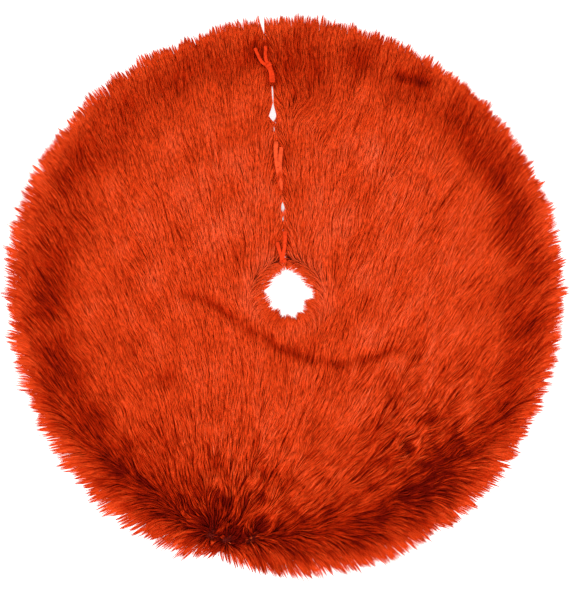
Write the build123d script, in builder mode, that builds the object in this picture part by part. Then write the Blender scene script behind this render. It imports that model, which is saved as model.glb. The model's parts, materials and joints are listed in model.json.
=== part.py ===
"""Round long-pile faux-fur tree skirt with a trunk hole, one slit and three pairs of ties.

The origin is the centre of the trunk hole on the floor, +Z is up, and the slit runs from the hole
to the rim along +Y. The cloth is split along the fold line y = 0 into three bodies: main, the half
at y < 0, and the left and right flaps, the quarters at y > 0 on either side of the slit. Each flap
folds up and back about a line just above the pile.
"""
import os
from math import pi, radians, tan

from build123d import *

# Outline, millimetres
fur_radius = 608.0  # centre to the tips of the pile
fur_hole_radius = 50.0  # opening that the pile leaves free
hem_radius = 583.3  # outer edge of the rim binding
hole_edge_radius = 61.7  # inner edge of the hole binding
slit_half_gap = 4.0  # from the slit's centre line to the slit binding
fold_half_gap = 0.2  # clearance at the fold line between the bodies

# Layers, from the floor up
tape = 0.8  # binding tape thickness
lining_thickness = 1.0
backing_thickness = 1.6
lining_bottom = tape
backing_bottom = lining_bottom + lining_thickness
backing_top = backing_bottom + backing_thickness
binding_top = backing_top + tape
pile_top = 24.0

# Binding
leg = 10.0  # width of the tape on each face of the cloth
seam_inset = 2.0  # from the open edge of the tape to the seam thread
thread_width = 0.9
groove_depth = 0.5
thread_bottom = 0.1  # the thread lies a little above the floor

# Pile outline
channel = slit_half_gap + leg  # the pile stands back this far from the slit's centre line
parting = 26.0  # half width of the wider parting of the pile at the outer ties
parting_start = 430.0
parting_full = 500.0
inner_tip_low = 6.5
inner_tip_high = 15.0
crown_inner = 78.0
crown_outer = 545.0
tip_low = 0.6
tip_high = 7.0
hem_clearance_low = 2.0  # from the rim binding to the pile that hangs outside it, near the floor
hem_clearance_high = 1.0  # the same at the binding's top
hole_clearance = 1.0  # from the hole binding's edge to the pile that hangs inside it

# Ties
tie_diameter = 8.0
run_share = 0.45  # of a run that the arc at its end may take
tab_width = 8.0
tab_thickness = 2.4
tab_inner_x = 5.0
tack_thickness = 0.8
tack_length = 3.0
tack_inset = 2.5

reach = 700.0  # half size of the boxes that select a body
box_height = 4 * pile_top  # height of those boxes, half of it above the floor
cut_height = 2 * pile_top

# Each tie's route, from its sewn end on the slit binding to its free end on the pile
tie_routes = {
    "inner_left": [(-9.5, 70.2, 8.6), (-7.8, 85, 12), (-7.6, 101, 15), (-9.2, 116, 16)],
    "inner_right": [(9.0, 70.2, 8.6), (7.0, 87, 12), (6.2, 105, 15), (6.6, 122, 16), (7.6, 139, 16)],
    "middle_left": [
        (-9.0, 225, 8.6), (-7.0, 244, 11.5), (-6.2, 264, 15), (-6.6, 284, 17), (-6.2, 308, 17.4),
        (-7.2, 334, 16.6),
    ],
    "middle_right": [
        (9.0, 225, 8.6), (7.2, 243, 11.5), (6.2, 262, 15), (6.6, 281, 17), (7.4, 301, 17.4),
        (9.4, 322, 16.8),
    ],
    "outer_left": [
        (-9.0, 463, 8.6), (-7.6, 479, 11.5), (-7.4, 496, 14.8), (-9.6, 513, 16.6), (-14.0, 529, 16.8),
        (-19.6, 543, 15.8),
    ],
    "outer_right": [
        (9.0, 463, 8.6), (7.0, 479, 11.5), (6.0, 496, 14.8), (5.6, 513, 16.6), (5.0, 530, 17),
        (4.8, 546, 16),
    ],
}
tab_starts = {"inner": 61.6, "middle": 211.0, "outer": 449.0}  # y of each tab's far end
sides = {"left": -1, "right": 1}


def select_body(body, edge):
    """Keep what belongs to a body, standing edge back from the slit's centre line."""
    if body == "main":
        corner, far = (-reach, -reach), (reach, -fold_half_gap)
    else:
        near_slit = sides[body] * edge
        outside = sides[body] * reach
        corner, far = (min(near_slit, outside), fold_half_gap), (max(near_slit, outside), reach)
    middle = ((corner[0] + far[0]) / 2, (corner[1] + far[1]) / 2, 0)
    with Locations(middle):
        Box(far[0] - corner[0], far[1] - corner[1], box_height, mode=Mode.INTERSECT)


def write(piece, name):
    """Label a finished piece and write its file."""
    piece.label = name
    export_step(piece, f"parts/{name}.step")


def folded_tape(open_edge, web):
    """Section of binding tape folded round an edge, with a groove for the seam thread below."""
    way = 1 if web > open_edge else -1
    groove_near = open_edge + way * seam_inset
    groove_far = groove_near + way * thread_width
    inside = web - way * tape
    return [
        (open_edge, 0), (groove_near, 0), (groove_near, groove_depth), (groove_far, groove_depth),
        (groove_far, 0), (web, 0), (web, binding_top), (open_edge, binding_top),
        (open_edge, backing_top), (inside, backing_top), (inside, tape), (open_edge, tape),
    ]


def thread_section(open_edge, web):
    """Section of the seam thread in the groove of the tape."""
    way = 1 if web > open_edge else -1
    near = open_edge + way * seam_inset
    far = near + way * thread_width
    return [(near, thread_bottom), (far, thread_bottom), (far, groove_depth), (near, groove_depth)]


def make_ring(body, section, edge, name):
    """A ring of constant section, cut to one body."""
    with BuildPart() as ring:
        with BuildSketch(Plane.XZ):
            with BuildLine():
                Polyline(*section, close=True)
            make_face()
        revolve(axis=Axis.Z)
        select_body(body, edge)
    write(ring.part, name)


def make_sheet(body, bottom, thickness, name):
    """A flat layer of cloth between the webs of the bindings."""
    with BuildPart() as sheet:
        with BuildSketch(Plane.XY.offset(bottom)):
            Circle(hem_radius - tape)
            Circle(hole_edge_radius + tape, mode=Mode.SUBTRACT)
        extrude(amount=thickness)
        select_body(body, slit_half_gap + tape)
    write(sheet.part, name)


def make_pile(body, name):
    """The pile: a thick crowned layer that hangs over the rim and into the trunk hole."""
    with BuildPart() as pile:
        with BuildSketch(Plane.XZ):
            with BuildLine():
                Line((fur_hole_radius, inner_tip_low), (fur_hole_radius, inner_tip_high))
                TangentArc((crown_inner, pile_top), (fur_hole_radius, inner_tip_high), tangent=(-1, 0))
                Line((crown_inner, pile_top), (crown_outer, pile_top))
                TangentArc((crown_outer, pile_top), (fur_radius, tip_high), tangent=(1, 0))
                Polyline(
                    (fur_radius, tip_high), (fur_radius, tip_low),
                    (hem_radius + hem_clearance_low, tip_low),
                    (hem_radius + hem_clearance_high, binding_top), (hem_radius - leg, binding_top),
                    (hem_radius - leg, backing_top), (hole_edge_radius + leg, backing_top),
                    (hole_edge_radius + leg, binding_top),
                    (hole_edge_radius - hole_clearance, binding_top),
                    (fur_hole_radius, inner_tip_low),
                )
            make_face()
        revolve(axis=Axis.Z)
        select_body(body, channel)
        if body != "main":
            way = sides[body]
            with BuildSketch(Plane.XY):
                Polygon(
                    (0, parting_start), (way * channel, parting_start), (way * parting, parting_full),
                    (way * parting, reach), (0, reach), align=None,
                )
            extrude(amount=cut_height, mode=Mode.SUBTRACT)
    write(pile.part, name)


def along_slit(side, section):
    """A strip beside the slit, between the rim binding and the hole binding."""
    with BuildPart() as strip:
        with BuildSketch(Plane.XZ.offset(-hole_edge_radius)):
            with BuildLine():
                Polyline(*[(sides[side] * x, z) for x, z in section], close=True)
            make_face()
        extrude(amount=-(hem_radius - hole_edge_radius))
        with BuildSketch(Plane.XY):
            Circle(hem_radius - leg)
            Circle(hole_edge_radius + leg, mode=Mode.SUBTRACT)
        extrude(amount=pile_top, mode=Mode.INTERSECT)
    return strip.part


def make_threads(body, name):
    """Seam threads of one body: rim and hole, and the slit on a flap."""
    threads = []
    for open_edge, web in [(hem_radius - leg, hem_radius), (hole_edge_radius + leg, hole_edge_radius)]:
        with BuildPart() as thread:
            with BuildSketch(Plane.XZ):
                with BuildLine():
                    Polyline(*thread_section(open_edge, web), close=True)
                make_face()
            revolve(axis=Axis.Z)
            select_body(body, slit_half_gap)
        threads.append(thread.part)
    if body != "main":
        section = thread_section(slit_half_gap + leg, slit_half_gap)
        threads.append(along_slit(body, section))
    write(Compound(children=threads), name)


def make_blocks(side, name, width, inset, length, bottom, height):
    """A block on the binding at each of the three ties: its sewn tab, or the bar tack on it."""
    with BuildPart() as blocks:
        for tie, start in tab_starts.items():
            end = tie_routes[f"{tie}_{side}"][0][1]
            block_length = length or end - start
            centre = (
                sides[side] * (tab_inner_x + tab_width / 2), end - inset - block_length / 2, bottom,
            )
            with Locations(centre):
                Box(width, block_length, height, align=(Align.CENTER, Align.CENTER, Align.MIN))
    write(blocks.part, name)


def corner_radii(points):
    """Radius of the arc at each corner, whose tangents take run_share of the shorter run."""
    corners = [Vector(*point) for point in points]
    radii = []
    for before, here, after in zip(corners, corners[1:], corners[2:]):
        run_in, run_out = here - before, after - here
        turn = run_in.get_angle(run_out)
        shorter = min(run_in.length, run_out.length)
        radii.append(run_share * shorter / tan(radians(turn) / 2))
    return radii


def make_tie(route_name, name):
    """A limp fabric tie, as a tube along straight runs joined by tangent arcs."""
    points = tie_routes[route_name]
    radii = corner_radii(points)
    with BuildPart() as tie:
        with BuildLine():
            route = FilletPolyline(*points, radius=radii)
        with BuildSketch(Plane(origin=route @ 0, z_dir=route % 0)):
            Circle(tie_diameter / 2)
        sweep(path=route)
    expected = route.length * pi * (tie_diameter / 2) ** 2
    print(
        name, "length", round(route.length, 1), "volume ratio", round(tie.part.volume / expected, 4),
        "radii", [round(radius) for radius in radii],
    )
    write(tie.part, name)


os.makedirs("parts", exist_ok=True)

for body in ("main", "left", "right"):
    make_pile(body, f"pile_{body}")
    make_sheet(body, backing_bottom, backing_thickness, f"backing_{body}")
    make_sheet(body, lining_bottom, lining_thickness, f"lining_{body}")
    make_ring(body, folded_tape(hem_radius - leg, hem_radius), slit_half_gap, f"rim_binding_{body}")
    hole_section = folded_tape(hole_edge_radius + leg, hole_edge_radius)
    make_ring(body, hole_section, slit_half_gap, f"hole_binding_{body}")
    make_threads(body, f"seam_thread_{body}")

for side in sides:
    slit_section = folded_tape(slit_half_gap + leg, slit_half_gap)
    write(along_slit(side, slit_section), f"slit_binding_{side}")
    make_blocks(side, f"tie_tabs_{side}", tab_width, 0, None, binding_top, tab_thickness)
    make_blocks(
        side, f"tie_bar_tacks_{side}", tab_width, tack_inset, tack_length,
        binding_top + tab_thickness, tack_thickness,
    )
    for tie in tab_starts:
        make_tie(f"{tie}_{side}", f"tie_{tie}_{side}")
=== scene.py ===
"""Looks of the long-pile tree skirt: pile, lining, binding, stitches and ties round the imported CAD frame.

Units are metres. The slit runs from the trunk hole to the rim along +Y. "Side" is -1 for the left
flap and +1 for the right one. The pile is combed along a nap axis close to +Y, and the camera's up
direction is that axis.
"""
import json
from math import cos, pi, radians, sin, tau

import bmesh
import bpy
import numpy as np
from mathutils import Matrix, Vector


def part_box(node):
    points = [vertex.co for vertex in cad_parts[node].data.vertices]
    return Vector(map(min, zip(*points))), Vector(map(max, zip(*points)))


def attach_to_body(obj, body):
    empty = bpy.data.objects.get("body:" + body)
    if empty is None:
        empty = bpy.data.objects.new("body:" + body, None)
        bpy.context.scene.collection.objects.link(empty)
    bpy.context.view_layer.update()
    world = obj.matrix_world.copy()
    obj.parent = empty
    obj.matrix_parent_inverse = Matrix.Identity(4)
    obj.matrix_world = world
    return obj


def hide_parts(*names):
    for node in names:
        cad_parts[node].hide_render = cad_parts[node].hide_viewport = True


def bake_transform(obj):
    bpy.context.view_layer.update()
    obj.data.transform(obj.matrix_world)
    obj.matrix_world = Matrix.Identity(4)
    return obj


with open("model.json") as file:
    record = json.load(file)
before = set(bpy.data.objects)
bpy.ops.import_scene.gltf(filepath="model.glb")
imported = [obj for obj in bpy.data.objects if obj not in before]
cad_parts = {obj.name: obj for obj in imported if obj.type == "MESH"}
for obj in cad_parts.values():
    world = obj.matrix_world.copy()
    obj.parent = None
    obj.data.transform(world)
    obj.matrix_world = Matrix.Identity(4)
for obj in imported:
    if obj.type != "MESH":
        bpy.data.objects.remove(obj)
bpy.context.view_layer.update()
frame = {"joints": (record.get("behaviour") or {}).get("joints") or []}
rng = np.random.default_rng(48)
mm = 0.001

# ------------------------ sizes, from the frame
hem_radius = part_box("rim_binding_main")[1].x
slit_half_gap = -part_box("slit_binding_left")[1].x
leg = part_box("slit_binding_left")[1].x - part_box("slit_binding_left")[0].x
hole_edge_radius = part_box("hole_binding_main")[1].x - leg
lining_bottom, lining_top = (corner.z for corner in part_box("lining_main"))
backing_bottom, backing_top = (corner.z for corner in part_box("backing_main"))
binding_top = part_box("rim_binding_main")[1].z
tape = binding_top - backing_top
pile_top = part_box("pile_main")[1].z
fold_height = frame["joints"][0]["pos_m"][2]
fold_half_width = pi / 2 * (fold_height - 1 * mm)  # cloth that wraps half round the fold line
flap_limit = fold_half_width + 7.5 * mm  # the flap's own pieces reach this far past the fold line
sides = {"left": -1, "right": 1}

# ------------------------ sizes of the looks
nap_turn = radians(4)  # from +Y towards +X
strand_spacing = 2.65 * mm
strand_length = 50 * mm
strand_width = 1.5 * mm
strands_per_piece = 12000
strand_places = np.array([0, 0.3, 0.66, 1.0])  # places of a strand's rings and tip along it

# Each tie's route: the control points of its line
tie_routes = {
    "inner_left": [
        (-8.5, 70.2, 8.6), (-6.0, 77, 14), (-7.6, 88, 19.4), (-10.6, 99, 21), (-12.2, 109, 20),
        (-13.0, 116, 17),
    ],
    "inner_right": [
        (-0.5, 70.2, 8.6), (-3.6, 79, 15.5), (-0.6, 93, 20), (3.2, 109, 21), (4.6, 124, 21), (5.2, 138, 20),
    ],
    "middle_left": [
        (-6.5, 225, 8.6), (-3.0, 242, 11), (-1.0, 260, 13), (-1.2, 278, 18.5), (-3.6, 301, 21),
        (-2.6, 319, 20.8), (-0.2, 335, 19),
    ],
    "middle_right": [
        (5.0, 225, 8.6), (3.2, 240, 11.5), (4.6, 256, 13), (4.6, 269, 15.6), (3.8, 281, 21), (5.6, 297, 21.6),
        (8.0, 310, 21), (10.2, 322, 19.6),
    ],
    "outer_left": [
        (-3.0, 463, 8.6), (-1.6, 476, 15), (-3.2, 491, 19.4), (-10.0, 503, 20.8), (-19.5, 509, 21),
        (-26.4, 524, 20.4), (-32.4, 542, 18),
    ],
    "outer_right": [
        (3.4, 463, 8.6), (3.6, 478, 15.5), (0.2, 493, 19.8), (-5.0, 505, 21.6), (-10.4, 513, 21.8),
        (-10.8, 527, 21), (-9.0, 545, 18.6),
    ],
}
tie_width = 8 * mm
tie_flat_widths = {"inner": 7.6 * mm, "middle": 9 * mm, "outer": 7.2 * mm}  # as each pair's cloth lies
tie_thickness = 4.2 * mm
seam_inset = 2 * mm  # from the open edge of the tape to its seam
seam_dip = 0.4 * mm  # depth of the groove that the seam draws into the tape
stitch_radius = 0.42 * mm


# ------------------------ helpers
def smoothstep(low, high, value):
    """0 below low, 1 above high, and smooth in between; low may be the larger one."""
    share = np.clip((value - low) / (high - low), 0, 1)
    return share * share * (3 - 2 * share)


def make_noise(wavelength, waves=24):
    """A smooth random field of about unit size, with bumps of about the given wavelength."""
    headings = rng.uniform(0, tau, waves)
    numbers = tau / (wavelength * rng.uniform(0.7, 1.5, waves))
    phases = rng.uniform(0, tau, waves)

    def noise(x, y):
        total = np.zeros(np.shape(x))
        for heading, number, phase in zip(headings, numbers, phases):
            total = total + np.sin(number * (cos(heading) * x + sin(heading) * y) + phase)
        return total / np.sqrt(waves / 2)

    return noise


def make_grain(cell):
    """A random field with bumps of the size of its cells, blended linearly between them."""
    count = int(2.6 * hem_radius / cell)
    values = rng.normal(size=(count, count))

    def grain(x, y):
        column, row = (x + 1.3 * hem_radius) / cell, (y + 1.3 * hem_radius) / cell
        column, row = np.clip(column, 0, count - 1.01), np.clip(row, 0, count - 1.01)
        left, low = column.astype(int), row.astype(int)
        right_share, high_share = column - left, row - low
        bottom = values[low, left] * (1 - right_share) + values[low, left + 1] * right_share
        top = values[low + 1, left] * (1 - right_share) + values[low + 1, left + 1] * right_share
        return bottom * (1 - high_share) + top * high_share

    return grain


def to_nap(x, y):
    """Coordinates across and along the nap axis."""
    return x * cos(nap_turn) - y * sin(nap_turn), x * sin(nap_turn) + y * cos(nap_turn)


def from_nap(across, along):
    """Frame coordinates of a point or direction given across and along the nap axis."""
    x = across * cos(nap_turn) + along * sin(nap_turn)
    return x, along * cos(nap_turn) - across * sin(nap_turn)


def link(name, mesh, material):
    """A new object of the model with one material."""
    mesh.materials.append(material)
    piece = bpy.data.objects.new(name, mesh)
    bpy.context.scene.collection.objects.link(piece)
    return piece


def mesh_from_arrays(name, vertices, faces, smooth=True):
    """A mesh from an array of points and a list of (m, 3) and (m, 4) arrays of corner numbers."""
    mesh = bpy.data.meshes.new(name)
    mesh.vertices.add(len(vertices))
    mesh.vertices.foreach_set("co", np.asarray(vertices, np.float32).ravel())
    corners = np.concatenate([part.ravel() for part in faces]).astype(np.int32)
    totals = np.concatenate([np.full(len(part), part.shape[1]) for part in faces])
    starts = np.concatenate([[0], np.cumsum(totals)[:-1]]).astype(np.int32)
    mesh.loops.add(len(corners))
    mesh.loops.foreach_set("vertex_index", corners)
    mesh.polygons.add(len(totals))
    mesh.polygons.foreach_set("loop_start", starts)
    mesh.update(calc_edges=True)
    mesh.polygons.foreach_set("use_smooth", np.full(len(totals), smooth))
    return mesh


def repeat_faces(faces, count, size):
    """The faces of one small shape, repeated for a count of such shapes with size points each."""
    offsets = np.arange(count)[:, None, None] * size
    return [(part[None] + offsets).reshape(-1, part.shape[1]) for part in faces]


# ------------------------ shape of the cloth
def slit_centre(y):
    """x of the slit's middle line, which wanders a little as the cloth lies."""
    return np.interp(
        y, [0.06, 0.13, 0.19, 0.28, 0.39, 0.42, 0.46, 0.52, 0.6],
        np.array([-2.0, 1.5, 4.5, 2.0, -4.5, -1.0, -0.5, -5.5, -13.0]) * mm,
    )


def slit_gap(y):
    """Half the slit's width, which opens a little between the middle and the outer ties."""
    extra = np.interp(y, [0.17, 0.185, 0.21, 0.365, 0.385, 0.43], [0, 2.5, 0, 0, 5.5, 0])
    return slit_half_gap + extra * mm


lift_noise = make_noise(0.23)
pucker_noise = make_noise(0.07)
pucker_noise_fine = make_noise(0.028)


def lift(x, y):
    """Height of the cloth over the floor: low wrinkles that fade out at the edges."""
    r = np.hypot(x, y)
    inside = smoothstep(0.57, 0.50, r) * smoothstep(0.08, 0.15, r)
    beside_slit = np.where(y > 0, smoothstep(0.02, 0.09, np.abs(x)), 1.0)
    wrinkle = np.clip(lift_noise(x, y) - 0.1, 0, 2) * 2.4 * mm
    return wrinkle * inside * beside_slit


def pucker(x, y):
    """Height of the lining's soft wrinkles under the backing, with small gathers along the rim's seam."""
    r = np.hypot(x, y)
    gathers = np.sin(np.arctan2(y, x) * 150 + 2 * pucker_noise(x, y)) * smoothstep(0.545, 0.575, r)
    broad = np.clip(0.4 + 0.5 * pucker_noise(x, y) + 0.22 * pucker_noise_fine(x, y), 0, 2)
    inside = smoothstep(0.583, 0.574, r) * smoothstep(0.062, 0.075, r)
    return 0.8 * mm * np.tanh(0.69 * (broad + 0.35 * (1 + gathers))) * inside


# ------------------------ nap of the pile
nap_noise = make_noise(0.085)
nap_noise_fine = make_noise(0.045)


def bump(x, y, place, radius):
    """1 at a place given across and along the nap axis, fading to 0 around it."""
    across, along = to_nap(x, y)
    return np.exp(-((across - place[0]) ** 2 + (along - place[1]) ** 2) / radius ** 2)


# Swirls of the pile beside the slit: place across and along the nap, radius, degrees
swirls = [((0.094, 0.38), 0.05, 25), ((0.030, 0.400), 0.028, 40), ((0.036, 0.445), 0.024, -32)]


def wildness(x, y):
    """1 where the pile is tousled and 0 where it is well combed."""
    _, along = to_nap(x, y)
    low = 0.45 * smoothstep(-0.2, -0.45, along)
    return np.maximum.reduce([low, bump(x, y, (0.29, -0.36), 0.17), bump(x, y, (-0.12, -0.48), 0.16)])


def nap_direction(x, y):
    """Direction in which the pile lies at each point, shorter than 1 where it stands up."""
    across, along = to_nap(x, y)
    r = np.maximum(np.hypot(x, y), 1 * mm)
    # The pile fans out to the sides, at the bottom from a point outside the skirt
    low = smoothstep(0.0, -0.4, along)
    fan = low * 0.9 * np.arctan2(across + 0.16, along + 0.60)
    spread = np.radians(27.5 + 3.5 * np.tanh(across / 0.1)) * (1 - 0.35 * smoothstep(0.15, 0.45, along))
    fan = fan + (1 - low) * (spread * np.tanh(across / 0.28) + radians(10) * (across / 0.5) ** 3)
    wild = wildness(x, y)
    fan = fan + np.radians(4.5 + 5 * wild) * nap_noise(x, y)
    unruly = 1.6 + 12 * wild + 6 * bump(x, y, (0.07, 0.40), 0.09)
    fan = fan + np.radians(unruly) * nap_noise_fine(x, y)
    for place, radius, turn in swirls:
        fan = fan + radians(turn) * bump(x, y, place, radius)
    # It leans over the slit from both sides
    beside = x - slit_centre(y)
    to_slit = np.where(y > 0.05, np.exp(-((beside / (28 * mm)) ** 2)), 0.0)
    edge = np.exp(-((beside / (13 * mm)) ** 2))
    fan = fan - np.sign(beside) * to_slit * np.radians(20 + 18 * edge)
    step_x, step_y = from_nap(np.sin(fan), np.cos(fan))
    # It turns outward at the rim and inward at the hole
    at_bottom = smoothstep(0.2, 0.9, -along / r)
    to_rim = smoothstep(0.560 - 0.08 * at_bottom, 0.606, r) * (1 - 0.7 * to_slit)
    step_x = step_x * (1 - 0.55 * to_rim) + to_rim * x / r
    step_y = step_y * (1 - 0.55 * to_rim) + to_rim * y / r
    inward = 2.4 * np.exp(-((np.maximum(r - hole_edge_radius, 0) / (16 * mm)) ** 2))
    step_x = step_x - inward * x / r
    step_y = step_y - inward * y / r * np.where(y > 0, 0.25 + 0.65 * (y / r) ** 4, 0.15)
    size = np.hypot(step_x, step_y)
    wanted = np.clip(size, 0.3, 1) / np.maximum(size, 1e-6)
    return step_x * wanted, step_y * wanted


# ------------------------ materials
def new_material(name, roughness, specular=0.5):
    """A material, its node tree and its shader."""
    material = bpy.data.materials.new(name)
    material.use_nodes = True
    tree = material.node_tree
    shader = tree.nodes["Principled BSDF"]
    shader.inputs["Roughness"].default_value = roughness
    shader.inputs["Specular IOR Level"].default_value = specular
    return material, tree, shader


def colour_ramp(tree, factor, stops):
    """A colour ramp node fed by factor; stops are (place, colour) pairs."""
    node = tree.nodes.new("ShaderNodeValToRGB")
    ramp = node.color_ramp
    for place, _ in stops[2:]:
        ramp.elements.new(place)
    for element, (place, colour) in zip(ramp.elements, stops):
        element.position = place
        element.color = (*colour, 1)
    tree.links.new(factor, node.inputs["Fac"])
    return node.outputs["Color"]


def multiply(tree, first, second):
    """The product of two colours."""
    node = tree.nodes.new("ShaderNodeMix")
    node.data_type = "RGBA"
    node.blend_type = "MULTIPLY"
    node.inputs["Factor"].default_value = 1
    tree.links.new(first, node.inputs["A"])
    tree.links.new(second, node.inputs["B"])
    return node.outputs["Result"]


def attribute(tree, name):
    """The value of a point attribute."""
    node = tree.nodes.new("ShaderNodeAttribute")
    node.attribute_name = name
    return node.outputs["Fac"]


def fur_material():
    """Pile fibre: its colour goes by the lock's tone, whose lightest end is a painted highlight, and painted
    shade darkens it from the tip down to the root.
    """
    material, tree, shader = new_material("fur", 0.6, 0.03)
    # Tone stops: the pinker upper stops are a painted highlight on the lightest strands
    tones = [
        (0.0, (0.18, 0.003, 0.0001)), (0.3, (0.52, 0.020, 0.0004)), (0.6, (0.85, 0.071, 0.0095)),
        (0.85, (0.96, 0.120, 0.034)), (1.0, (0.99, 0.175, 0.075)),
    ]
    tone = colour_ramp(tree, attribute(tree, "tone"), tones)
    # Painted shade: each strand darkens from its tip down to the root, where the pile shades itself; the tip
    # is a touch pinker
    depth = colour_ramp(
        tree, attribute(tree, "along"),
        [(0.0, (0.30, 0.20, 0.20)), (0.3, (0.72, 0.66, 0.66)), (0.6, (1, 1, 1)), (1.0, (1, 1.1, 1.1))],
    )
    tree.links.new(multiply(tree, tone, depth), shader.inputs["Base Color"])
    return material


def woven_material(
    name, colour, pitch, roughness, strength=0.35, mottling=0.86, mottle_scale=60, specular=0.15
):
    """Woven cloth: fine threads both ways, with a little mottling."""
    material, tree, shader = new_material(name, roughness, specular)
    place = tree.nodes.new("ShaderNodeTexCoord").outputs["Object"]
    heights = []
    for direction in ("X", "Y"):
        wave = tree.nodes.new("ShaderNodeTexWave")
        wave.bands_direction = direction
        wave.inputs["Scale"].default_value = 1 / pitch / tau * 2
        wave.inputs["Distortion"].default_value = 0.6
        tree.links.new(place, wave.inputs["Vector"])
        heights.append(wave.outputs["Fac"])
    threads = tree.nodes.new("ShaderNodeMath")
    threads.operation = "MAXIMUM"
    for height, socket in zip(heights, threads.inputs):
        tree.links.new(height, socket)
    mottle = tree.nodes.new("ShaderNodeTexNoise")
    mottle.inputs["Scale"].default_value = mottle_scale
    tree.links.new(place, mottle.inputs["Vector"])
    dark = tuple(0.62 * channel for channel in colour)
    weave = colour_ramp(tree, threads.outputs[0], [(0.2, dark), (0.9, colour)])
    cloud = colour_ramp(tree, mottle.outputs["Fac"], [(0.35, (mottling,) * 3), (0.62, (1.0,) * 3)])
    tree.links.new(multiply(tree, weave, cloud), shader.inputs["Base Color"])
    relief = tree.nodes.new("ShaderNodeBump")
    relief.inputs["Strength"].default_value = strength
    relief.inputs["Distance"].default_value = pitch / 4
    tree.links.new(threads.outputs[0], relief.inputs["Height"])
    tree.links.new(relief.outputs["Normal"], shader.inputs["Normal"])
    return material


def tie_material(name, colour):
    """The ties' cloth: one cloth, whose pairs differ in colour only by painted light and shade."""
    return woven_material(name, colour, 0.8 * mm, 0.75, 0.35, 0.70, 150, specular=0.03)


materials = {
    "fur": fur_material(),
    "backing": woven_material("backing", (0.22, 0.010, 0.004), 1.4 * mm, 0.85),
    "lining": woven_material("lining", (0.44, 0.012, 0.006), 0.9 * mm, 0.5, specular=0.3),
    "binding": woven_material("binding", (0.62, 0.022, 0.008), 0.7 * mm, 0.42),
    # One cloth in three colours: painted light on the middle pair and painted shade on the outer pair
    "tie_inner": tie_material("tie_inner", (0.93, 0.058, 0.010)),
    "tie_middle": tie_material("tie_middle", (0.98, 0.098, 0.024)),
    "tie_outer": tie_material("tie_outer", (0.86, 0.047, 0.007)),
    "thread": woven_material("thread", (0.72, 0.030, 0.010), 0.4 * mm, 0.45),
}


# ------------------------ camera, lights, floor
def make_camera():
    """Straight down over the trunk hole, with the nap axis up in the picture."""
    distance = 3.2
    view_height = 1.286
    sensor = 36.0
    data = bpy.data.cameras.new("camera")
    data.sensor_width = sensor
    data.lens = sensor * (distance - pile_top) / view_height
    camera = bpy.data.objects.new("camera", data)
    x, y = from_nap(-3.3 * mm, -1.1 * mm)
    camera.location = (x, y, distance)
    camera.rotation_euler = (0, 0, -nap_turn)
    bpy.context.scene.collection.objects.link(camera)
    bpy.context.scene.camera = camera


def area_light(name, place, size, power):
    """A square soft light that points at the skirt's middle."""
    data = bpy.data.lights.new(name, "AREA")
    data.shape = "SQUARE"
    data.size = size
    data.energy = power
    lamp = bpy.data.objects.new(name, data)
    lamp.location = place
    lamp.rotation_euler = (-Vector(place)).to_track_quat("-Z", "Y").to_euler()
    bpy.context.scene.collection.objects.link(lamp)


def make_studio():
    """White floor that glows a little, an even sky and a soft light on each side."""
    world = bpy.data.worlds.new("studio")
    world.use_nodes = True
    sky = world.node_tree.nodes["Background"]
    sky.inputs["Color"].default_value = (1, 1, 1, 1)
    sky.inputs["Strength"].default_value = 0.95
    bpy.context.scene.world = world
    bpy.context.scene.view_settings.view_transform = "Standard"
    area_light("left softbox", (-2.4, -0.5, 1.7), 1.4, 44)
    area_light("right softbox", (2.4, -0.3, 1.7), 1.4, 40)
    half = 6.0
    corners = np.array([(-half, -half, 0), (half, -half, 0), (half, half, 0), (-half, half, 0)])
    mesh = mesh_from_arrays("floor", corners, [np.array([[0, 1, 2, 3]])], smooth=False)
    material, _, shader = new_material("floor", 0.9, 0.1)
    shader.inputs["Base Color"].default_value = (0.93, 0.93, 0.93, 1)
    shader.inputs["Emission Color"].default_value = (1, 1, 1, 1)
    shader.inputs["Emission Strength"].default_value = 0.7
    mesh.materials.append(material)
    floor = bpy.data.objects.new("floor", mesh)
    bpy.context.scene.collection.objects.link(floor)


make_camera()
make_studio()


# ------------------------ bodies
def attach(piece, body):
    """A main piece rides on its body; a flap's piece stays where it is, with its transform baked into its
    mesh.
    """
    if body == "main":
        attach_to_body(piece, "main")
    else:
        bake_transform(piece)


# ------------------------ ties
def route_line(points):
    """Points in metres along the smooth line that has the route as its control points."""
    curve = bpy.data.curves.new("route", "CURVE")
    curve.dimensions = "3D"
    spline = curve.splines.new("NURBS")
    spline.points.add(len(points) - 1)
    for control, (x, y, z) in zip(spline.points, points):
        control.co = (x * mm, y * mm, z * mm, 1)
    spline.order_u = 3
    spline.use_endpoint_u = True
    holder = bpy.data.objects.new("route", curve)
    bpy.context.scene.collection.objects.link(holder)
    bpy.context.view_layer.update()
    mesh = bpy.data.meshes.new_from_object(holder)
    line = np.array([vertex.co for vertex in mesh.vertices])
    bpy.data.objects.remove(holder)
    bpy.data.meshes.remove(mesh)
    return line


def travel(line):
    """Distance along a line at each of its points."""
    return np.concatenate([[0], np.cumsum(np.linalg.norm(np.diff(line, axis=0), axis=1))])


def frames_along(lines):
    """Tangent, level side and upward directions at each point of a line, or of many at once."""
    tangent = np.gradient(lines, axis=-2)
    tangent /= np.linalg.norm(tangent, axis=-1)[..., None]
    side = np.cross(tangent, (0, 0, 1.0))
    side /= np.maximum(np.linalg.norm(side, axis=-1), 1e-9)[..., None]
    return tangent, side, np.cross(side, tangent)


def tube_quads(rings, around):
    """Quads between rings of points."""
    ring, spoke = np.meshgrid(np.arange(rings - 1), np.arange(around), indexing="ij")
    here, after = ring * around + spoke, ring * around + (spoke + 1) % around
    return np.stack([here, after, after + around, here + around], -1).reshape(-1, 4)


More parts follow.
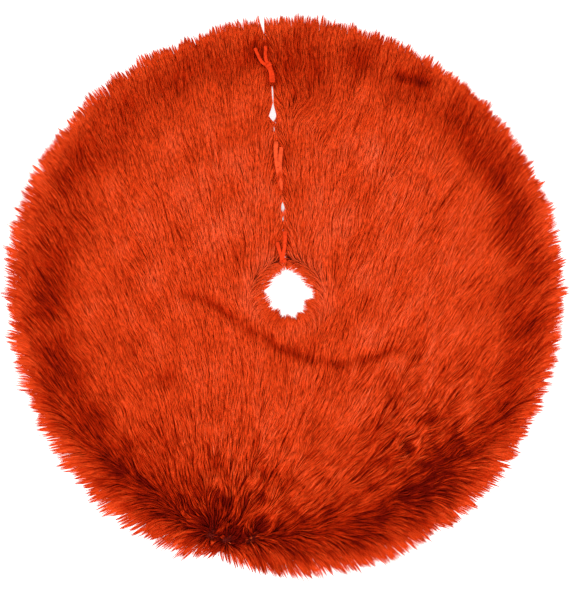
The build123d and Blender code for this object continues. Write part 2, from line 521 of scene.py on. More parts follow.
def tube_faces(rings, around):
    """Quads between rings of points, and the two end caps fanned from their centre points."""
    spokes = np.arange(around)
    last = (rings - 1) * around
    root = np.stack([(spokes + 1) % around, spokes, np.full(around, rings * around)], -1)
    tip = np.stack([last + spokes, last + (spokes + 1) % around, np.full(around, rings * around + 1)], -1)
    return [tube_quads(rings, around), np.concatenate([root, tip])]


def flat_tube(name, line, width, thickness, squeeze=0.5):
    """A mesh of a flat fabric tube along a line, with rounded closed ends."""
    around = 20
    travelled = travel(line)
    from_end = np.minimum(travelled, travelled[-1] - travelled)
    plump = squeeze + (1 - squeeze) * np.sqrt(np.clip(1 - (1 - from_end / (2.2 * mm)).clip(0) ** 2, 0, 1))
    _, side, up = frames_along(line)
    turns = np.arange(around) / around * tau
    across = np.sign(np.cos(turns)) * np.abs(np.cos(turns)) ** 0.8 * width / 2
    over = np.sin(turns) * thickness / 2 * (1 - 0.25 * np.cos(turns) ** 2)
    wobble = 1 + 0.05 * np.sin(travelled / (7 * mm) + 2 * line[0, 0] / mm)
    half_width = (plump * wobble)[:, None] * across[None, :]
    points = line[:, None] + side[:, None] * half_width[..., None]
    points = points + up[:, None] * (plump[:, None] * over[None, :])[..., None]
    vertices = np.concatenate([points.reshape(-1, 3), line[:1], line[-1:]])
    return mesh_from_arrays(name, vertices, tube_faces(len(line), around))


tie_lines = {name: route_line(points) for name, points in tie_routes.items()}


def resample(line, spacing):
    """Evenly spaced points along a line."""
    travelled = travel(line)
    places = np.linspace(0, travelled[-1], int(travelled[-1] / spacing) + 1)
    return np.stack([np.interp(places, travelled, line[:, axis]) for axis in range(3)], -1)


def make_knot(name, line, share, side_shift):
    """A half hitch: a flat tube wound once round both ties at a share of the line's length."""
    line = resample(line, 0.5 * mm)
    at = int(share * (len(line) - 1))
    tangent, side, up = frames_along(line)
    centre = line[at] + side[at] * side_shift
    turns = np.linspace(-0.15 * tau, 1.25 * tau, 46)
    wide, high = 5.6 * mm, 3.6 * mm  # from the knot's centre to the middle of the wound tube
    half_width, half_thickness = 3.0 * mm, 1.1 * mm
    pitch = 3.2 * mm * (turns / tau - 0.55)
    across, over = np.cos(turns)[:, None] * side[at], np.sin(turns)[:, None] * up[at]
    coil = centre + across * wide + over * high + pitch[:, None] * tangent[at]
    around = 12
    wrap = np.arange(around) / around * tau
    points = coil[:, None] + tangent[at] * (np.cos(wrap) * half_width)[None, :, None]
    points = points + (across + over)[:, None] * (np.sin(wrap) * half_thickness)[None, :, None]
    vertices = np.concatenate([points.reshape(-1, 3), coil[:1], coil[-1:]])
    vertices[:, 2] = np.maximum(vertices[:, 2], 1 * mm)
    return mesh_from_arrays(name, vertices, tube_faces(len(coil), around))


def make_ties():
    """The six ties and the knot of each pair."""
    knots = {"inner": (0.07, -1 * mm), "middle": (0.53, -2 * mm), "outer": (0.50, -1 * mm)}
    for tie, (share, side_shift) in knots.items():
        knot_mesh = make_knot(f"knot_{tie}", tie_lines[f"{tie}_right"], share, side_shift)
        knot = link(f"knot_{tie}", knot_mesh, materials[f"tie_{tie}"])
        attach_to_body(knot, "left_flap")
        for side in sides:
            line = tie_lines[f"{tie}_{side}"]
            centres = resample(line, 0.9 * mm)
            mesh = flat_tube(f"tie_{tie}_{side}_cloth", centres, tie_flat_widths[tie], tie_thickness)
            piece = link(mesh.name, mesh, materials[f"tie_{tie}"])
            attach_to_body(piece, f"{side}_flap")
            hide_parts(f"tie_{tie}_{side}")


make_ties()


# ------------------------ sheets
def sheet_angles(body, r, steps, edge):
    """Angles round the skirt of a body's sheet at each radius, from one edge to the other."""
    past_fold = np.arcsin(flap_limit / r)
    if body == "main":
        start, end = pi + past_fold, tau - past_fold
    else:
        side = sides[body]
        slit = np.arccos((slit_centre(r) + side * (slit_gap(r) + edge)) / r)
        fold = -past_fold if side > 0 else pi + past_fold
        start, end = (fold, slit) if side > 0 else (slit, fold)
    share = np.linspace(0, 1, steps)
    return start[:, None] + (end - start)[:, None] * share[None, :]


def slab(name, top, bottom):
    """A closed thin solid between two grids of points."""
    rows, columns, _ = top.shape
    count = rows * columns
    row, column = np.meshgrid(np.arange(rows - 1), np.arange(columns - 1), indexing="ij")
    corner = (row * columns + column).ravel()
    upper = np.stack([corner, corner + columns, corner + columns + 1, corner + 1], -1)
    lower = upper[:, ::-1] + count
    grid = np.arange(count).reshape(rows, columns)
    walls = []
    for edge in (grid[0, :], grid[:, -1], grid[-1, ::-1], grid[::-1, 0]):
        walls.append(np.stack([edge[:-1], edge[1:], edge[1:] + count, edge[:-1] + count], -1))
    vertices = np.concatenate([top.reshape(-1, 3), bottom.reshape(-1, 3)])
    mesh = mesh_from_arrays(name, vertices, [upper, lower, np.concatenate(walls)])
    mesh.set_sharp_from_angle(angle=radians(40))
    return mesh


def make_sheet(body, layer, low, high):
    """One body's sheet of lining or backing."""
    r = np.linspace(hole_edge_radius + tape, hem_radius - tape, 90)
    angles = sheet_angles(body, r, 360 if body == "main" else 190, tape)
    x, y = r[:, None] * np.cos(angles), r[:, None] * np.sin(angles)
    raised = lift(x, y) + (pucker(x, y) if layer == "lining" else 0)
    top, bottom = np.stack([x, y, raised + high], -1), np.stack([x, y, raised + low], -1)
    mesh = slab(f"{layer}_cloth_{body}", top, bottom)
    piece = link(mesh.name, mesh, materials[layer])
    attach(piece, body)
    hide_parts(f"{layer}_{body}")
    return piece


# ------------------------ binding and stitches
def tape_section():
    """Folded tape round an edge: (distance in from the edge, height) round its closed outline."""
    round_out, round_in = binding_top / 2, binding_top / 2 - tape
    seam = leg - seam_inset
    folds = np.linspace(-pi / 2, pi / 2, 9)
    outer_fold = [(round_out * (1 - cos(turn)), round_out * (1 + sin(turn))) for turn in folds]
    inner_fold = [(round_out - round_in * cos(turn), round_out + round_in * sin(turn)) for turn in folds]
    near, far = seam - 1 * mm, seam + 1 * mm
    under = [(leg, 0.15 * mm), (far, 0.0), (seam, seam_dip), (near, 0.0)]
    over = [(near, binding_top), (seam, binding_top - seam_dip), (far, binding_top)]
    over.append((leg, backing_top + tape * 0.8))
    inside_top = [(leg, backing_top), (near, backing_top)]
    inside_low = [(near, tape), (leg, tape)]
    return under + outer_fold + over + inside_top + inner_fold[::-1] + inside_low


def swept(section, place):
    """Points and side faces of a section carried along a path; place holds x and y by row and corner."""
    rows, around = place.shape[0], len(section)
    heights = np.array([height for _, height in section])
    vertices = np.empty((rows, around, 3))
    vertices[..., :2] = place
    vertices[..., 2] = heights[None, :] + lift(place[..., 0], place[..., 1])
    return vertices.reshape(-1, 3), tube_quads(rows, around)


def close_ends(name, vertices, quads):
    """The swept mesh with its two ends closed, its faces turned outward."""
    mesh = mesh_from_arrays(name, vertices, [quads])
    work = bmesh.new()
    work.from_mesh(mesh)
    bmesh.ops.holes_fill(work, edges=[edge for edge in work.edges if edge.is_boundary])
    bmesh.ops.recalc_face_normals(work, faces=work.faces)
    work.to_mesh(mesh)
    work.free()
    return mesh


def arc_place(radius, way, angles, insets):
    """Points of a section along an arc; way is +1 where the cloth lies outside the edge."""
    r = radius + way * insets
    return np.stack([r[None, :] * np.cos(angles)[:, None], r[None, :] * np.sin(angles)[:, None]], -1)


def slit_place(side, ys, insets):
    """Points of a section along one side of the slit."""
    x = slit_centre(ys)[:, None] + side * (slit_gap(ys)[:, None] + insets[None, :])
    return np.stack([x, np.broadcast_to(ys[:, None], x.shape)], -1)


def ring_angles(body, radius, spacing):
    """Angles along a ring for one body's binding."""
    ends = sheet_angles(body, np.array([radius]), 2, 0.0)[0]
    return np.linspace(ends[0], ends[1], int((ends[1] - ends[0]) * radius / spacing) + 2)


def make_bindings(body):
    """Rim and hole binding of one body, and the slit's on a flap."""
    section = tape_section()
    insets = np.array([inset for inset, _ in section])
    made = []
    places = {
        "rim_binding": arc_place(hem_radius, -1, ring_angles(body, hem_radius - leg / 2, 6 * mm), insets),
        "hole_binding": arc_place(
            hole_edge_radius, 1, ring_angles(body, hole_edge_radius + leg / 2, 3 * mm), insets
        ),
    }
    if body != "main":
        ys = np.linspace(hole_edge_radius + leg / 2, hem_radius - leg / 2, 130)
        places["slit_binding"] = slit_place(sides[body], ys, insets)
    for kind, place in places.items():
        name = f"{kind}_tape_{body}"
        mesh = close_ends(name, *swept(section, place))
        piece = link(name, mesh, materials["binding"])
        attach(piece, body)
        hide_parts(f"{kind}_{body}")
        made.append(piece)
    return made


def stitch_line(body):
    """Points of the seam line at each stitch's two ends, one row per stitch: rim, hole and slit."""
    pitch, stitch = 5 * mm, 3.8 * mm
    seam = np.array([leg - seam_inset])
    rows = []

    def pairs(total, place):
        starts = np.arange(0.5 * pitch, total - pitch, pitch)
        rows.append(np.stack([place(starts), place(starts + stitch)], 1))

    for radius, way in ((hem_radius, -1), (hole_edge_radius, 1)):
        r = radius + way * seam[0]
        start, end = sheet_angles(body, np.array([r]), 2, 0.0)[0]
        pairs((end - start) * r, lambda s: arc_place(radius, way, start + s / r, seam)[:, 0])
    if body != "main":
        low, high = hole_edge_radius + leg, hem_radius - leg
        pairs(high - low, lambda s: slit_place(sides[body], low + s, seam)[:, 0])
    return np.concatenate(rows)


def make_stitches(body):
    """Thread stitches in the dips on the tape's underside and on its top."""
    ends = stitch_line(body)
    along = np.array([0, 0.25, 0.5, 0.75, 1.0])
    arch = np.array([0.30, 0.85, 1.0, 0.85, 0.30])
    around = 6
    turns = np.arange(around) / around * tau
    blocks = []
    for level, way in ((stitch_radius, -1), (binding_top - stitch_radius, 1)):
        centre = ends[:, None, 0] + (ends[:, None, 1] - ends[:, None, 0]) * along[None, :, None]
        height = lift(centre[..., 0], centre[..., 1]) + level + way * 0.30 * mm * (arch - 0.3)
        step = ends[:, 1] - ends[:, 0]
        step /= np.linalg.norm(step, axis=1)[:, None]
        side = np.stack([step[:, 1], -step[:, 0]], -1)
        radius = stitch_radius * (0.55 + 0.45 * arch)
        spread = radius[None, :, None] * np.cos(turns)[None, None, :]
        points = np.empty((len(ends), len(along), around, 3))
        points[..., :2] = centre[:, :, None] + side[:, None, None] * spread[..., None]
        points[..., 2] = height[..., None] + (radius[:, None] * np.sin(turns)[None, :] * 0.7)[None]
        points[..., 2] = np.maximum(points[..., 2], 0.05 * mm)
        caps = np.stack([points[:, 0].mean(1), points[:, -1].mean(1)], 1)
        blocks.append(np.concatenate([points.reshape(len(ends), -1, 3), caps], 1))
    vertices = np.concatenate(blocks)
    faces = repeat_faces(tube_faces(len(along), around), *vertices.shape[:2])
    mesh = mesh_from_arrays(f"stitches_{body}", vertices.reshape(-1, 3), faces)
    piece = link(mesh.name, mesh, materials["thread"])
    attach(piece, body)
    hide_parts(f"seam_thread_{body}")
    return piece


def make_tabs(side):
    """The sewn end of each tie on the binding, and the bar tacks across it."""
    tabs, tacks = [], []
    behind, ahead, steps = 13 * mm, 1 * mm, 16
    resting = binding_top + 1.3 * mm
    for tie in ("inner", "middle", "outer"):
        start = np.array(tie_lines[f"{tie}_{side}"][0])
        ys = np.linspace(start[1] - behind, start[1] + ahead, steps)
        x = slit_centre(ys) + sides[side] * (slit_gap(ys) + 5 * mm)
        x = x + (start[0] - x) * smoothstep(0, 1, (ys - ys[0]) / (ys[-1] - ys[0]))
        z = resting + (start[2] - resting) * smoothstep(0.7, 1, np.linspace(0, 1, steps))
        line = np.stack([x, ys, z], -1)
        tabs.append(flat_tube("tab", line, tie_width, 2.4 * mm, squeeze=0.7))
        for row in range(5):
            y = ys[3] + row * 0.8 * mm
            centre = float(np.interp(y, ys, x))
            bar = np.zeros((7, 3)) + (centre, y, binding_top + 2.5 * mm)
            bar[:, 0] += np.linspace(-3.2, 3.2, 7) * mm
            bar[[0, -1], 2] -= 0.5 * mm
            tacks.append(bar)
    return tabs, tacks


def join_meshes(name, meshes):
    """One mesh that holds several."""
    work = bmesh.new()
    for mesh in meshes:
        work.from_mesh(mesh)
    joined = bpy.data.meshes.new(name)
    work.to_mesh(joined)
    work.free()
    for mesh in meshes:
        bpy.data.meshes.remove(mesh)
    return joined


for body in ("main", "left", "right"):
    edge_pieces = make_bindings(body) + [make_stitches(body)]
    lining = make_sheet(body, "lining", lining_bottom, lining_top)
    make_sheet(body, "backing", backing_bottom, backing_top)

for side in sides:
    tab_meshes, tack_lines = make_tabs(side)
    tab_mesh = join_meshes(f"tie_tab_cloth_{side}", tab_meshes)
    tabs = link(tab_mesh.name, tab_mesh, materials["tie_inner"])
    bars = [flat_tube("bar", line, 0.7 * mm, 0.7 * mm, squeeze=0.6) for line in tack_lines]
    tack_mesh = join_meshes(f"tie_tacks_{side}", bars)
    tacks = link(tack_mesh.name, tack_mesh, materials["thread"])
    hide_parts(f"tie_tabs_{side}")
    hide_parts(f"tie_bar_tacks_{side}")
    for piece in (tabs, tacks):
        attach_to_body(piece, f"{side}_flap")


# ------------------------ pile
def strand_roots():
    """Roots of the pile's strands: a jittered triangular grid, denser at the rim and round the hole."""
    count = int(2 * hem_radius / strand_spacing) + 2
    column, row = np.meshgrid(np.arange(count), np.arange(int(count * 1.16)))
    x = (column + 0.5 * (row % 2)) * strand_spacing - hem_radius
    y = row * strand_spacing * 0.866 - hem_radius
    x = x.ravel() + rng.uniform(-0.5, 0.5, x.size) * strand_spacing
    y = y.ravel() + rng.uniform(-0.5, 0.5, y.size) * strand_spacing
    extra_rows = 9
    for edge, way, reach in ((hem_radius, -1, 24), (hole_edge_radius, 1, 34)):
        extra = int(tau * edge / strand_spacing * extra_rows)
        turn = rng.uniform(0, tau, extra)
        r = edge + way * rng.uniform(4, reach, extra) * mm
        x, y = np.concatenate([x, r * np.cos(turn)]), np.concatenate([y, r * np.sin(turn)])
    r = np.hypot(x, y)
    beside = np.abs(x - slit_centre(y)) - slit_gap(y)
    on_cloth = (r > hole_edge_radius + 2 * mm) & (r < hem_radius - 4 * mm)
    kept = on_cloth & ((y < 0) | (beside > 2.5 * mm))
    return x[kept], y[kept]


def walk(x, y, length, steps):
    """Paths over the cloth that follow the nap from their roots, as (paths, steps + 1, 2)."""
    path = [np.stack([x, y], -1)]
    turned = radians(1.6) * rng.normal(size=x.size)
    for _ in range(steps):
        step_x, step_y = nap_direction(path[-1][:, 0], path[-1][:, 1])
        move = np.stack([
            step_x * np.cos(turned) - step_y * np.sin(turned),
            step_x * np.sin(turned) + step_y * np.cos(turned),
        ], -1)
        path.append(path[-1] + move * (length / steps)[:, None])
    return np.stack(path, 1)


crease_lines = [
    [
        (-0.225, 0.016), (-0.179, 0.002), (-0.086, -0.070), (0.019, -0.139), (0.115, -0.161),
        (0.237, -0.137),
    ],
    [(0.279, 0.461), (0.332, 0.440)],
]


def crease(x, y):
    """1 in the creases of the pile and 0 away from them."""
    nearest = np.full(np.shape(x), 1.0)
    for line in crease_lines:
        for (x0, y0), (x1, y1) in zip(line, line[1:]):
            dx, dy = x1 - x0, y1 - y0
            share = np.clip(((x - x0) * dx + (y - y0) * dy) / (dx * dx + dy * dy), 0, 1)
            nearest = np.minimum(nearest, np.hypot(x - x0 - share * dx, y - y0 - share * dy))
    return np.exp(-((nearest / (13 * mm)) ** 2)) * (1 + 0.25 * nap_noise_fine(x, y))


height_noise = make_noise(0.06)
lock_grain = make_grain(2.6 * mm)
tone_noise = make_noise(0.10)
blotch_noise = make_noise(0.055)


# Places where the pile is darker, or lighter if below 0: depth, (across, along the nap), radius
tone_patches = [
    (0.20, (0.29, -0.38), 0.10), (0.13, (-0.16, -0.47), 0.11), (0.14, (0.04, 0.47), 0.06),
    (0.09, (-0.333, -0.326), 0.025), (0.16, (-0.258, -0.185), 0.02), (0.05, (0.0, -0.04), 0.10),
    (-0.09, (-0.13, 0.19), 0.10), (0.08, (-0.36, -0.17), 0.14), (0.05, (0.35, -0.17), 0.10),
    (0.10, (0.473, 0.263), 0.05), (0.10, (0.513, 0.179), 0.05), (0.08, (0.42, 0.36), 0.07),
    (0.09, (0.03, -0.10), 0.06), (0.06, (-0.40, -0.36), 0.05), (0.09, (0.32, -0.325), 0.08),
    (0.10, (-0.25, -0.34), 0.05), (0.10, (-0.585, 0.02), 0.09), (0.09, (0.035, 0.406), 0.035),
    (-0.10, (0.20, 0.29), 0.05), (-0.09, (0.08, 0.15), 0.07), (-0.08, (0.24, -0.10), 0.05),
    (0.04, (0.12, -0.335), 0.12), (0.10, (-0.06, -0.415), 0.05), (0.10, (-0.33, -0.41), 0.04),
    (0.09, (-0.49, -0.18), 0.06), (0.06, (-0.43, 0.06), 0.07), (0.07, (0.44, -0.03), 0.06),
    (0.06, (0.50, -0.09), 0.05), (0.06, (-0.345, 0.29), 0.05),
]


def zone_tone(x, y):
    """How much lighter or darker the pile is in each zone of the skirt: painted shade in a ring inside the
    rim, towards the bottom and in the creases, painted light round the trunk hole, and patches, blotches and
    tone that differs at random.
    """
    _, along = to_nap(x, y)
    r = np.maximum(np.hypot(x, y), 1 * mm)
    low = -along / r
    # Painted shade: a darker ring inside the rim, less dark towards the top
    ring = np.exp(-(((r - 0.530) / 0.058) ** 2)) * (0.31 - 0.10 * np.clip(-low, 0, 1))
    # Painted light: lighter round the trunk hole, where the pile parts
    ring = ring - 0.14 * np.exp(-(((r - 0.085) / 0.02) ** 2))
    # Painted shade: darker towards the bottom
    low_shade = 0.08 * smoothstep(0.25, 0.42, r) * smoothstep(0.3, 0.9, low)
    patches = sum(depth * bump(x, y, place, radius) for depth, place, radius in tone_patches)
    blotches = 0.21 * np.clip(blotch_noise(x, y) - 0.2, 0, 1.5) * wildness(x, y)
    # The crease term is painted shade in the creases of the pile
    return 0.04 * tone_noise(x, y) - ring - low_shade - patches - blotches - 0.27 * crease(x, y)


# Where the pile leaves the slit open: (y, half the width in mm)
slit_openings = [
    (0.132, -3), (0.136, 3.4), (0.146, 3.2), (0.150, -3), (0.156, -3), (0.160, 3.4), (0.172, 2.6),
    (0.176, -3), (0.179, -3), (0.181, 6.5), (0.202, 2.2), (0.207, -3), (0.348, -3), (0.354, 1.8),
    (0.372, 1.7), (0.376, -3), (0.379, -3), (0.380, 13), (0.402, 6), (0.413, 2.6), (0.421, 0.8),
    (0.428, 1.8), (0.445, 2.4), (0.461, 1.8), (0.470, -3), (0.560, -3), (0.575, 1.5), (0.600, 5), (0.620, 7),
]


def fur_opening(y):
    """Half the width that the pile leaves open over the slit; below 0 the two sides overlap."""
    places, halves = np.array(slit_openings).T
    return np.interp(y, places, halves * mm)


# How far the pile reaches into the trunk hole: (degrees round the hole, radius where it ends)
hole_outline = [
    (-10, 57), (11, 55), (22, 33), (33, 46), (60, 43), (90, 56), (106, 39), (128, 36), (150, 37),
    (165, 54), (172, 36), (198, 27), (212, 44), (242, 30), (253, 50), (268, 42), (284, 54), (296, 43),
    (307, 51), (326, 40), (341, 35),
]


def outline_share(paths):
    """Share of each path that lies outside the pile's outline in the trunk hole."""
    degrees = np.degrees(np.arctan2(paths[..., 1], paths[..., 0]))
    places, reaches = np.array(hole_outline, float).T
    edge = np.interp(degrees, places, reaches * mm, period=360) + rng.uniform(-6, 9, (len(paths), 1)) * mm
    clear = np.hypot(paths[..., 0], paths[..., 1]) - edge
    inside = clear < 0
    first = np.maximum(inside.argmax(1), 1)
    rows = np.arange(len(paths))
    before, after = clear[rows, first - 1], clear[rows, first]
    crossing = first - 1 + np.clip(before / np.maximum(before - after, 1e-6), 0, 1)
    return np.where(inside.any(1), crossing / (paths.shape[1] - 1), 1.0)


def gather(paths, spacing, share, side):
    """Paths drawn together towards their tips into locks, and each path's lock number."""
    x, y = paths[:, 0, 0], paths[:, 0, 1]
    column = np.floor(x / spacing + 0.5 * nap_noise_fine(x, y))
    row = np.floor(y / spacing + 0.5 * nap_noise_fine(y + 1, x))
    _, lock = np.unique((column * 4096 + row) * 2 + side, return_inverse=True)
    size = np.bincount(lock)
    places = np.linspace(0, 1, paths.shape[1])
    drawn = np.empty_like(paths)
    for step, place in enumerate(places):
        for axis in range(2):
            middle = np.bincount(lock, weights=paths[:, step, axis]) / size
            weight = share * place ** 1.2
            drawn[:, step, axis] = paths[:, step, axis] * (1 - weight) + middle[lock] * weight
    return drawn, lock


# Points along the ties, and how wide the pile leaves each one clear. The pile hides the sewn ends,
# and more of the middle left tie than of the others.
hidden_end = 5 * mm
clear_places = [0.200, 0.202, 0.256, 0.258, 0.276, 0.278]
clear_widths = [5.2, 1.6, 1.6, -4.5, -4.5, 5.2]
tie_points = []
for name, line in tie_lines.items():
    spots = resample(line, 1.5 * mm)
    hidden_to = 0.268 if name == "middle_left" else spots[0, 1] + hidden_end
    spots = spots[spots[:, 1] > hidden_to]
    clear = np.interp(spots[:, 1], clear_places, np.array(clear_widths) * mm)
    tie_points.append(np.column_stack([spots, clear]))
tie_points = np.concatenate(tie_points)


def under_ties(points):
    """The most height that each point of the pile may have beside or under the ties."""
    batch = 20000  # points handled at once, which keeps the memory low
    slope = 1.2
    most = np.full(points.shape[:-1], 1.0)
    near = (np.abs(points[..., 0]) < 0.06) & (points[..., 1] > 0.05)
    close = points[near]
    for start in range(0, len(close), batch):
        part = close[start:start + batch]
        away = np.hypot(
            part[:, None, 0] - tie_points[None, :, 0], part[:, None, 1] - tie_points[None, :, 1]
        )
        nearest = away.argmin(1)
        distance = away[np.arange(len(part)), nearest]
        beyond = np.maximum(distance - tie_points[nearest, 3], 0)
        close[start:start + len(part), 2] = tie_points[nearest, 2] - 2.8 * mm + beyond * slope
    most[near] = close[:, 2]
    return most


def lay_paths(x, y, wild, at_rim, at_hole):
    """Paths of the strands over the cloth, drawn into locks, and each one's random values by lock."""
    n = x.size
    r = np.hypot(x, y)
    length = strand_length * rng.uniform(0.72, 1.12, n)
    by_side = 0.20 * smoothstep(0.5, 0.95, -y / r) - 0.30 * smoothstep(0.2, 0.9, y / r)
    by_side = by_side - 0.15 * x / r - 0.13 * (x / r) ** 2 - 0.32 * bump(x, y, (-0.21, 0.545), 0.075)
    length *= 1 + at_rim * (rng.uniform(-0.05, 0.52, n) + by_side)
    paths = walk(x, y, length, steps=8)
    side = np.where(y > 0, x > slit_centre(y), False)
    loose = np.where(y > 0.05, 1 - np.exp(-(((x - slit_centre(y)) / (16 * mm)) ** 2)), 1.0)
    wide_share = loose * (0.04 + 0.30 * wild + (0.30 - 0.15 * wild) * at_rim + 0.05 * at_hole)
    fine_share = loose * (0.30 + 0.30 * wild + 0.28 * at_rim + 0.15 * at_hole)
    paths, wide_lock = gather(paths, 19 * mm, wide_share, side)
    paths, fine_lock = gather(paths, 7 * mm, fine_share, side)
    locks = [rng.normal(size=lock.max() + 1)[lock] for lock in (wide_lock, fine_lock)]
    # Locks at the rim differ in length
    reach = 1 + at_rim * (0.055 * locks[0] + 0.06 * locks[1]).clip(-0.15, 0.2)
    return paths[:, :1] + (paths - paths[:, :1]) * reach[:, None, None], locks


def path_grain(paths):
    """One value for each path, which neighbours on one line of the nap share: partings lie along it."""
    seen = paths[:, (paths.shape[1] - 1) // 4:]
    grain = lock_grain(seen[..., 0], seen[..., 1]).mean(1)
    grain /= grain.std()
    return np.where(grain < 0, 1.35 * grain, 0.65 * grain)


def cut_paths(paths):
    """The point of each path at each of the strand's places, within the outline in the trunk hole."""
    n, points, _ = paths.shape
    steps = points - 1
    at = strand_places[None, :] * steps * (outline_share(paths) * rng.uniform(0.9, 1, n))[:, None]
    whole = np.minimum(at.astype(int), steps - 1)
    part = (at - whole)[..., None]
    rows = np.arange(n)[:, None]
    return paths[rows, whole] * (1 - part) + paths[rows, whole + 1] * part


def raise_strands(ground, level):
    """Centre lines over the ground, steep at the root and then lying over, and the most height allowed."""
    gx, gy = ground[..., 0], ground[..., 1]
    gr = np.hypot(gx, gy)
    over_edge = smoothstep(hem_radius - 2 * mm, hem_radius + 14 * mm, gr)
    root_level = lift(gx, gy) + binding_top - (binding_top - 1.0 * mm) * over_edge
    room = (pile_top - binding_top - 1.5 * mm) * (1 - 0.72 * smoothstep(0.54, 0.605, gr))
    room = room * (1 - 0.45 * smoothstep(0.085, 0.055, gr)) * (1 - 0.45 * crease(gx, gy))
    rise = 1 - (1 - strand_places) ** 2.4 - 0.14 * strand_places ** 3
    z = np.minimum(root_level + room * level[:, None] * rise[None, :], pile_top - 0.8 * mm)
    line = np.stack([gx, gy, z], -1)
    most = under_ties(line)
    line[..., 2] = np.minimum(z, np.maximum(most, binding_top + 0.3 * mm))
    return line, most


def keep_to_side(line, x, y):
    """Move the strands of the flaps off the slit, to their own side of it."""
    own = np.where(x > slit_centre(y), 1.0, -1.0)
    centre = slit_centre(line[..., 1])
    beside = (line[..., 0] - centre) * own[:, None]
    keep_off = np.where((line[..., 1] > 0.04) & (y > 0)[:, None], fur_opening(line[..., 1]), -1.0)
    line[..., 0] = np.where(beside < keep_off, centre + own[:, None] * keep_off, line[..., 0])


def strand_tones(x, y, ground, grain, locks, wild, most):
    """Tone of each strand, by its zone, grain and locks, and by the shade of the ties."""
    r = np.hypot(x, y)
    middle = ground[:, 2]
    coarse = np.maximum(wild, 0.45 * smoothstep(0.44, 0.53, r) * (1 - 0.5 * smoothstep(0.1, 0.45, y)))
    crisp = 0.78 + 0.32 * smoothstep(0.05, 0.2, x) * smoothstep(0.5, 0.4, r) - 0.24 * smoothstep(0.22, 0.4, y)
    # The grain's tone is partly tone that differs at random and partly painted shade: strands that lie low in
    # the partings are darker
    tone = 0.600 + (0.086 * crisp + 0.12 * coarse) * grain
    tone = tone + (0.034 * crisp + 0.045 * coarse) * rng.normal(size=x.size)
    tone = tone + (0.005 + 0.019 * wild) * (locks[0] + locks[1]) + zone_tone(middle[:, 0], middle[:, 1])
    # The pile beside and under the ties is in their shade, and light comes through the rim's tips
    tone = tone - 0.12 * smoothstep(0.030, 0.018, most[:, 2])
    tone = np.maximum(tone, 0.42 * smoothstep(0.572, 0.598, np.hypot(middle[:, 0], middle[:, 1])))
    return np.clip(tone, 0.01, 0.99)


def grow_strands():
    """Centre lines (n, 4, 3), widths, tones and roots of all the strands."""
    x, y = strand_roots()
    r = np.hypot(x, y)
    at_rim = smoothstep(0.53, 0.57, r)
    at_hole = smoothstep(0.095, 0.075, r)
    wild = wildness(x, y)
    paths, locks = lay_paths(x, y, wild, at_rim, at_hole)
    grain = path_grain(paths)
    ground = cut_paths(paths)
    level = 0.84 + (0.065 - 0.015 * smoothstep(0.22, 0.4, y)) * grain + 0.02 * height_noise(x, y)
    level = level + (0.012 + 0.068 * wild) * (locks[0] + locks[1])
    level = np.clip(level, 0.35, 1.0) * rng.uniform(0.85, 1.0, x.size)
    line, most = raise_strands(ground, level)
    keep_to_side(line, x, y)
    tone = strand_tones(x, y, ground, grain, locks, wild, most)
    width = strand_width * rng.uniform(0.7, 1.15, x.size) * (1 - 0.25 * at_rim - 0.25 * at_hole)
    return line, width, tone, y, x


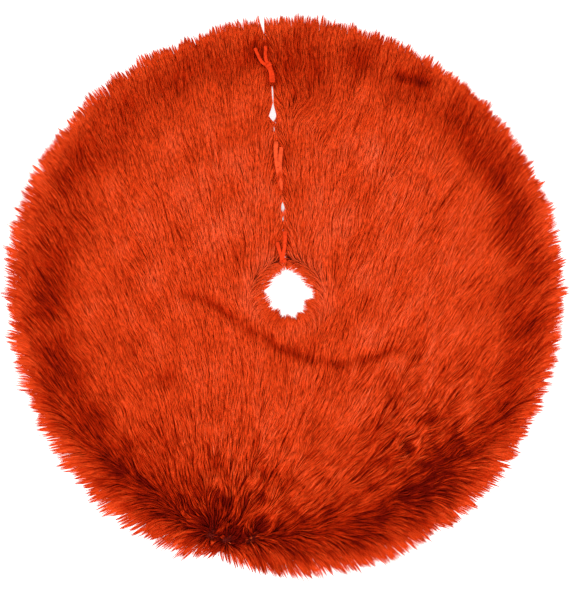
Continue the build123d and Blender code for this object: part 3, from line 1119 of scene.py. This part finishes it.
def blade_mesh(name, line, width, tone):
    """Strands as closed tapered blades of three sides, with their tone and place along as attributes."""
    n, stations, _ = line.shape
    rings = stations - 1
    _, side, up = frames_along(line)
    taper = np.array([0.8, 1.0, 0.85])
    half = width[:, None, None] * taper[None, :, None] / 2
    body = line[:, :rings]
    corners = np.stack([
        body - side[:, :rings] * half,
        body + side[:, :rings] * half,
        body + up[:, :rings] * half * 0.9,
    ], 2)
    vertices = np.concatenate([corners.reshape(n, rings * 3, 3), line[:, -1:]], 1)
    vertices[..., 2] = np.maximum(vertices[..., 2], 0.3 * mm)
    ring, spoke = np.meshgrid(np.arange(rings - 1), np.arange(3), indexing="ij")
    here, after = (ring * 3 + spoke).ravel(), (ring * 3 + (spoke + 1) % 3).ravel()
    quads = np.stack([here, here + 3, after + 3, after], -1)
    last = (rings - 1) * 3
    spokes = np.arange(3)
    ends = np.stack([last + (spokes + 1) % 3, last + spokes, np.full(3, rings * 3)], -1)
    ends = np.concatenate([[[0, 1, 2]], ends])
    faces = repeat_faces((quads, ends), n, vertices.shape[1])
    mesh = mesh_from_arrays(name, vertices.reshape(-1, 3), faces)
    along = np.append(np.repeat(strand_places[:rings], 3), 1.0)
    shades = 128
    tone = (np.floor(tone * shades) + 0.5) / shades
    values = {"tone": np.repeat(tone, vertices.shape[1]), "along": np.tile(along, n)}
    for key, value in values.items():
        mesh.attributes.new(key, "FLOAT", "POINT").data.foreach_set("value", value.astype(np.float32))
    sway = np.append(np.tile([-0.3, 0.3, 0.0], rings), 0.0) / shades
    uv = np.stack([(tone[:, None] + sway[None, :]).ravel(), 0.01 + 0.98 * values["along"]], -1)
    loops = np.empty(len(mesh.loops), np.int32)
    mesh.loops.foreach_get("vertex_index", loops)
    layer = mesh.uv_layers.new(name="OFBake")
    layer.data.foreach_set("uv", uv[loops].astype(np.float32).ravel())
    return mesh


def make_pile():
    """All the strands, in sectors of each body."""
    line, width, tone, root_y, root_x = grow_strands()
    # The flaps' pieces start below the fold line, so that they hold every strand near it
    low = root_y < -0.1
    on_right = root_x >= np.where(root_y > 0, slit_centre(root_y), 0)
    zones = {"main": low, "left": ~low & ~on_right, "right": ~low & on_right}
    for body, inside in zones.items():
        members = np.nonzero(inside)[0]
        turn = np.arctan2(root_y[members], root_x[members] * (1 if body == "right" else -1))
        if body == "main":
            turn = root_x[members]
        members = members[np.argsort(turn, kind="stable")]
        groups = np.array_split(members, int(np.ceil(len(members) / strands_per_piece)))
        for number, group in enumerate(groups, 1):
            mesh = blade_mesh(f"fur_{body}_{number}", line[group], width[group], tone[group])
            piece = link(mesh.name, mesh, materials["fur"])
            attach(piece, body)
            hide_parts(f"pile_{body}")


make_pile()
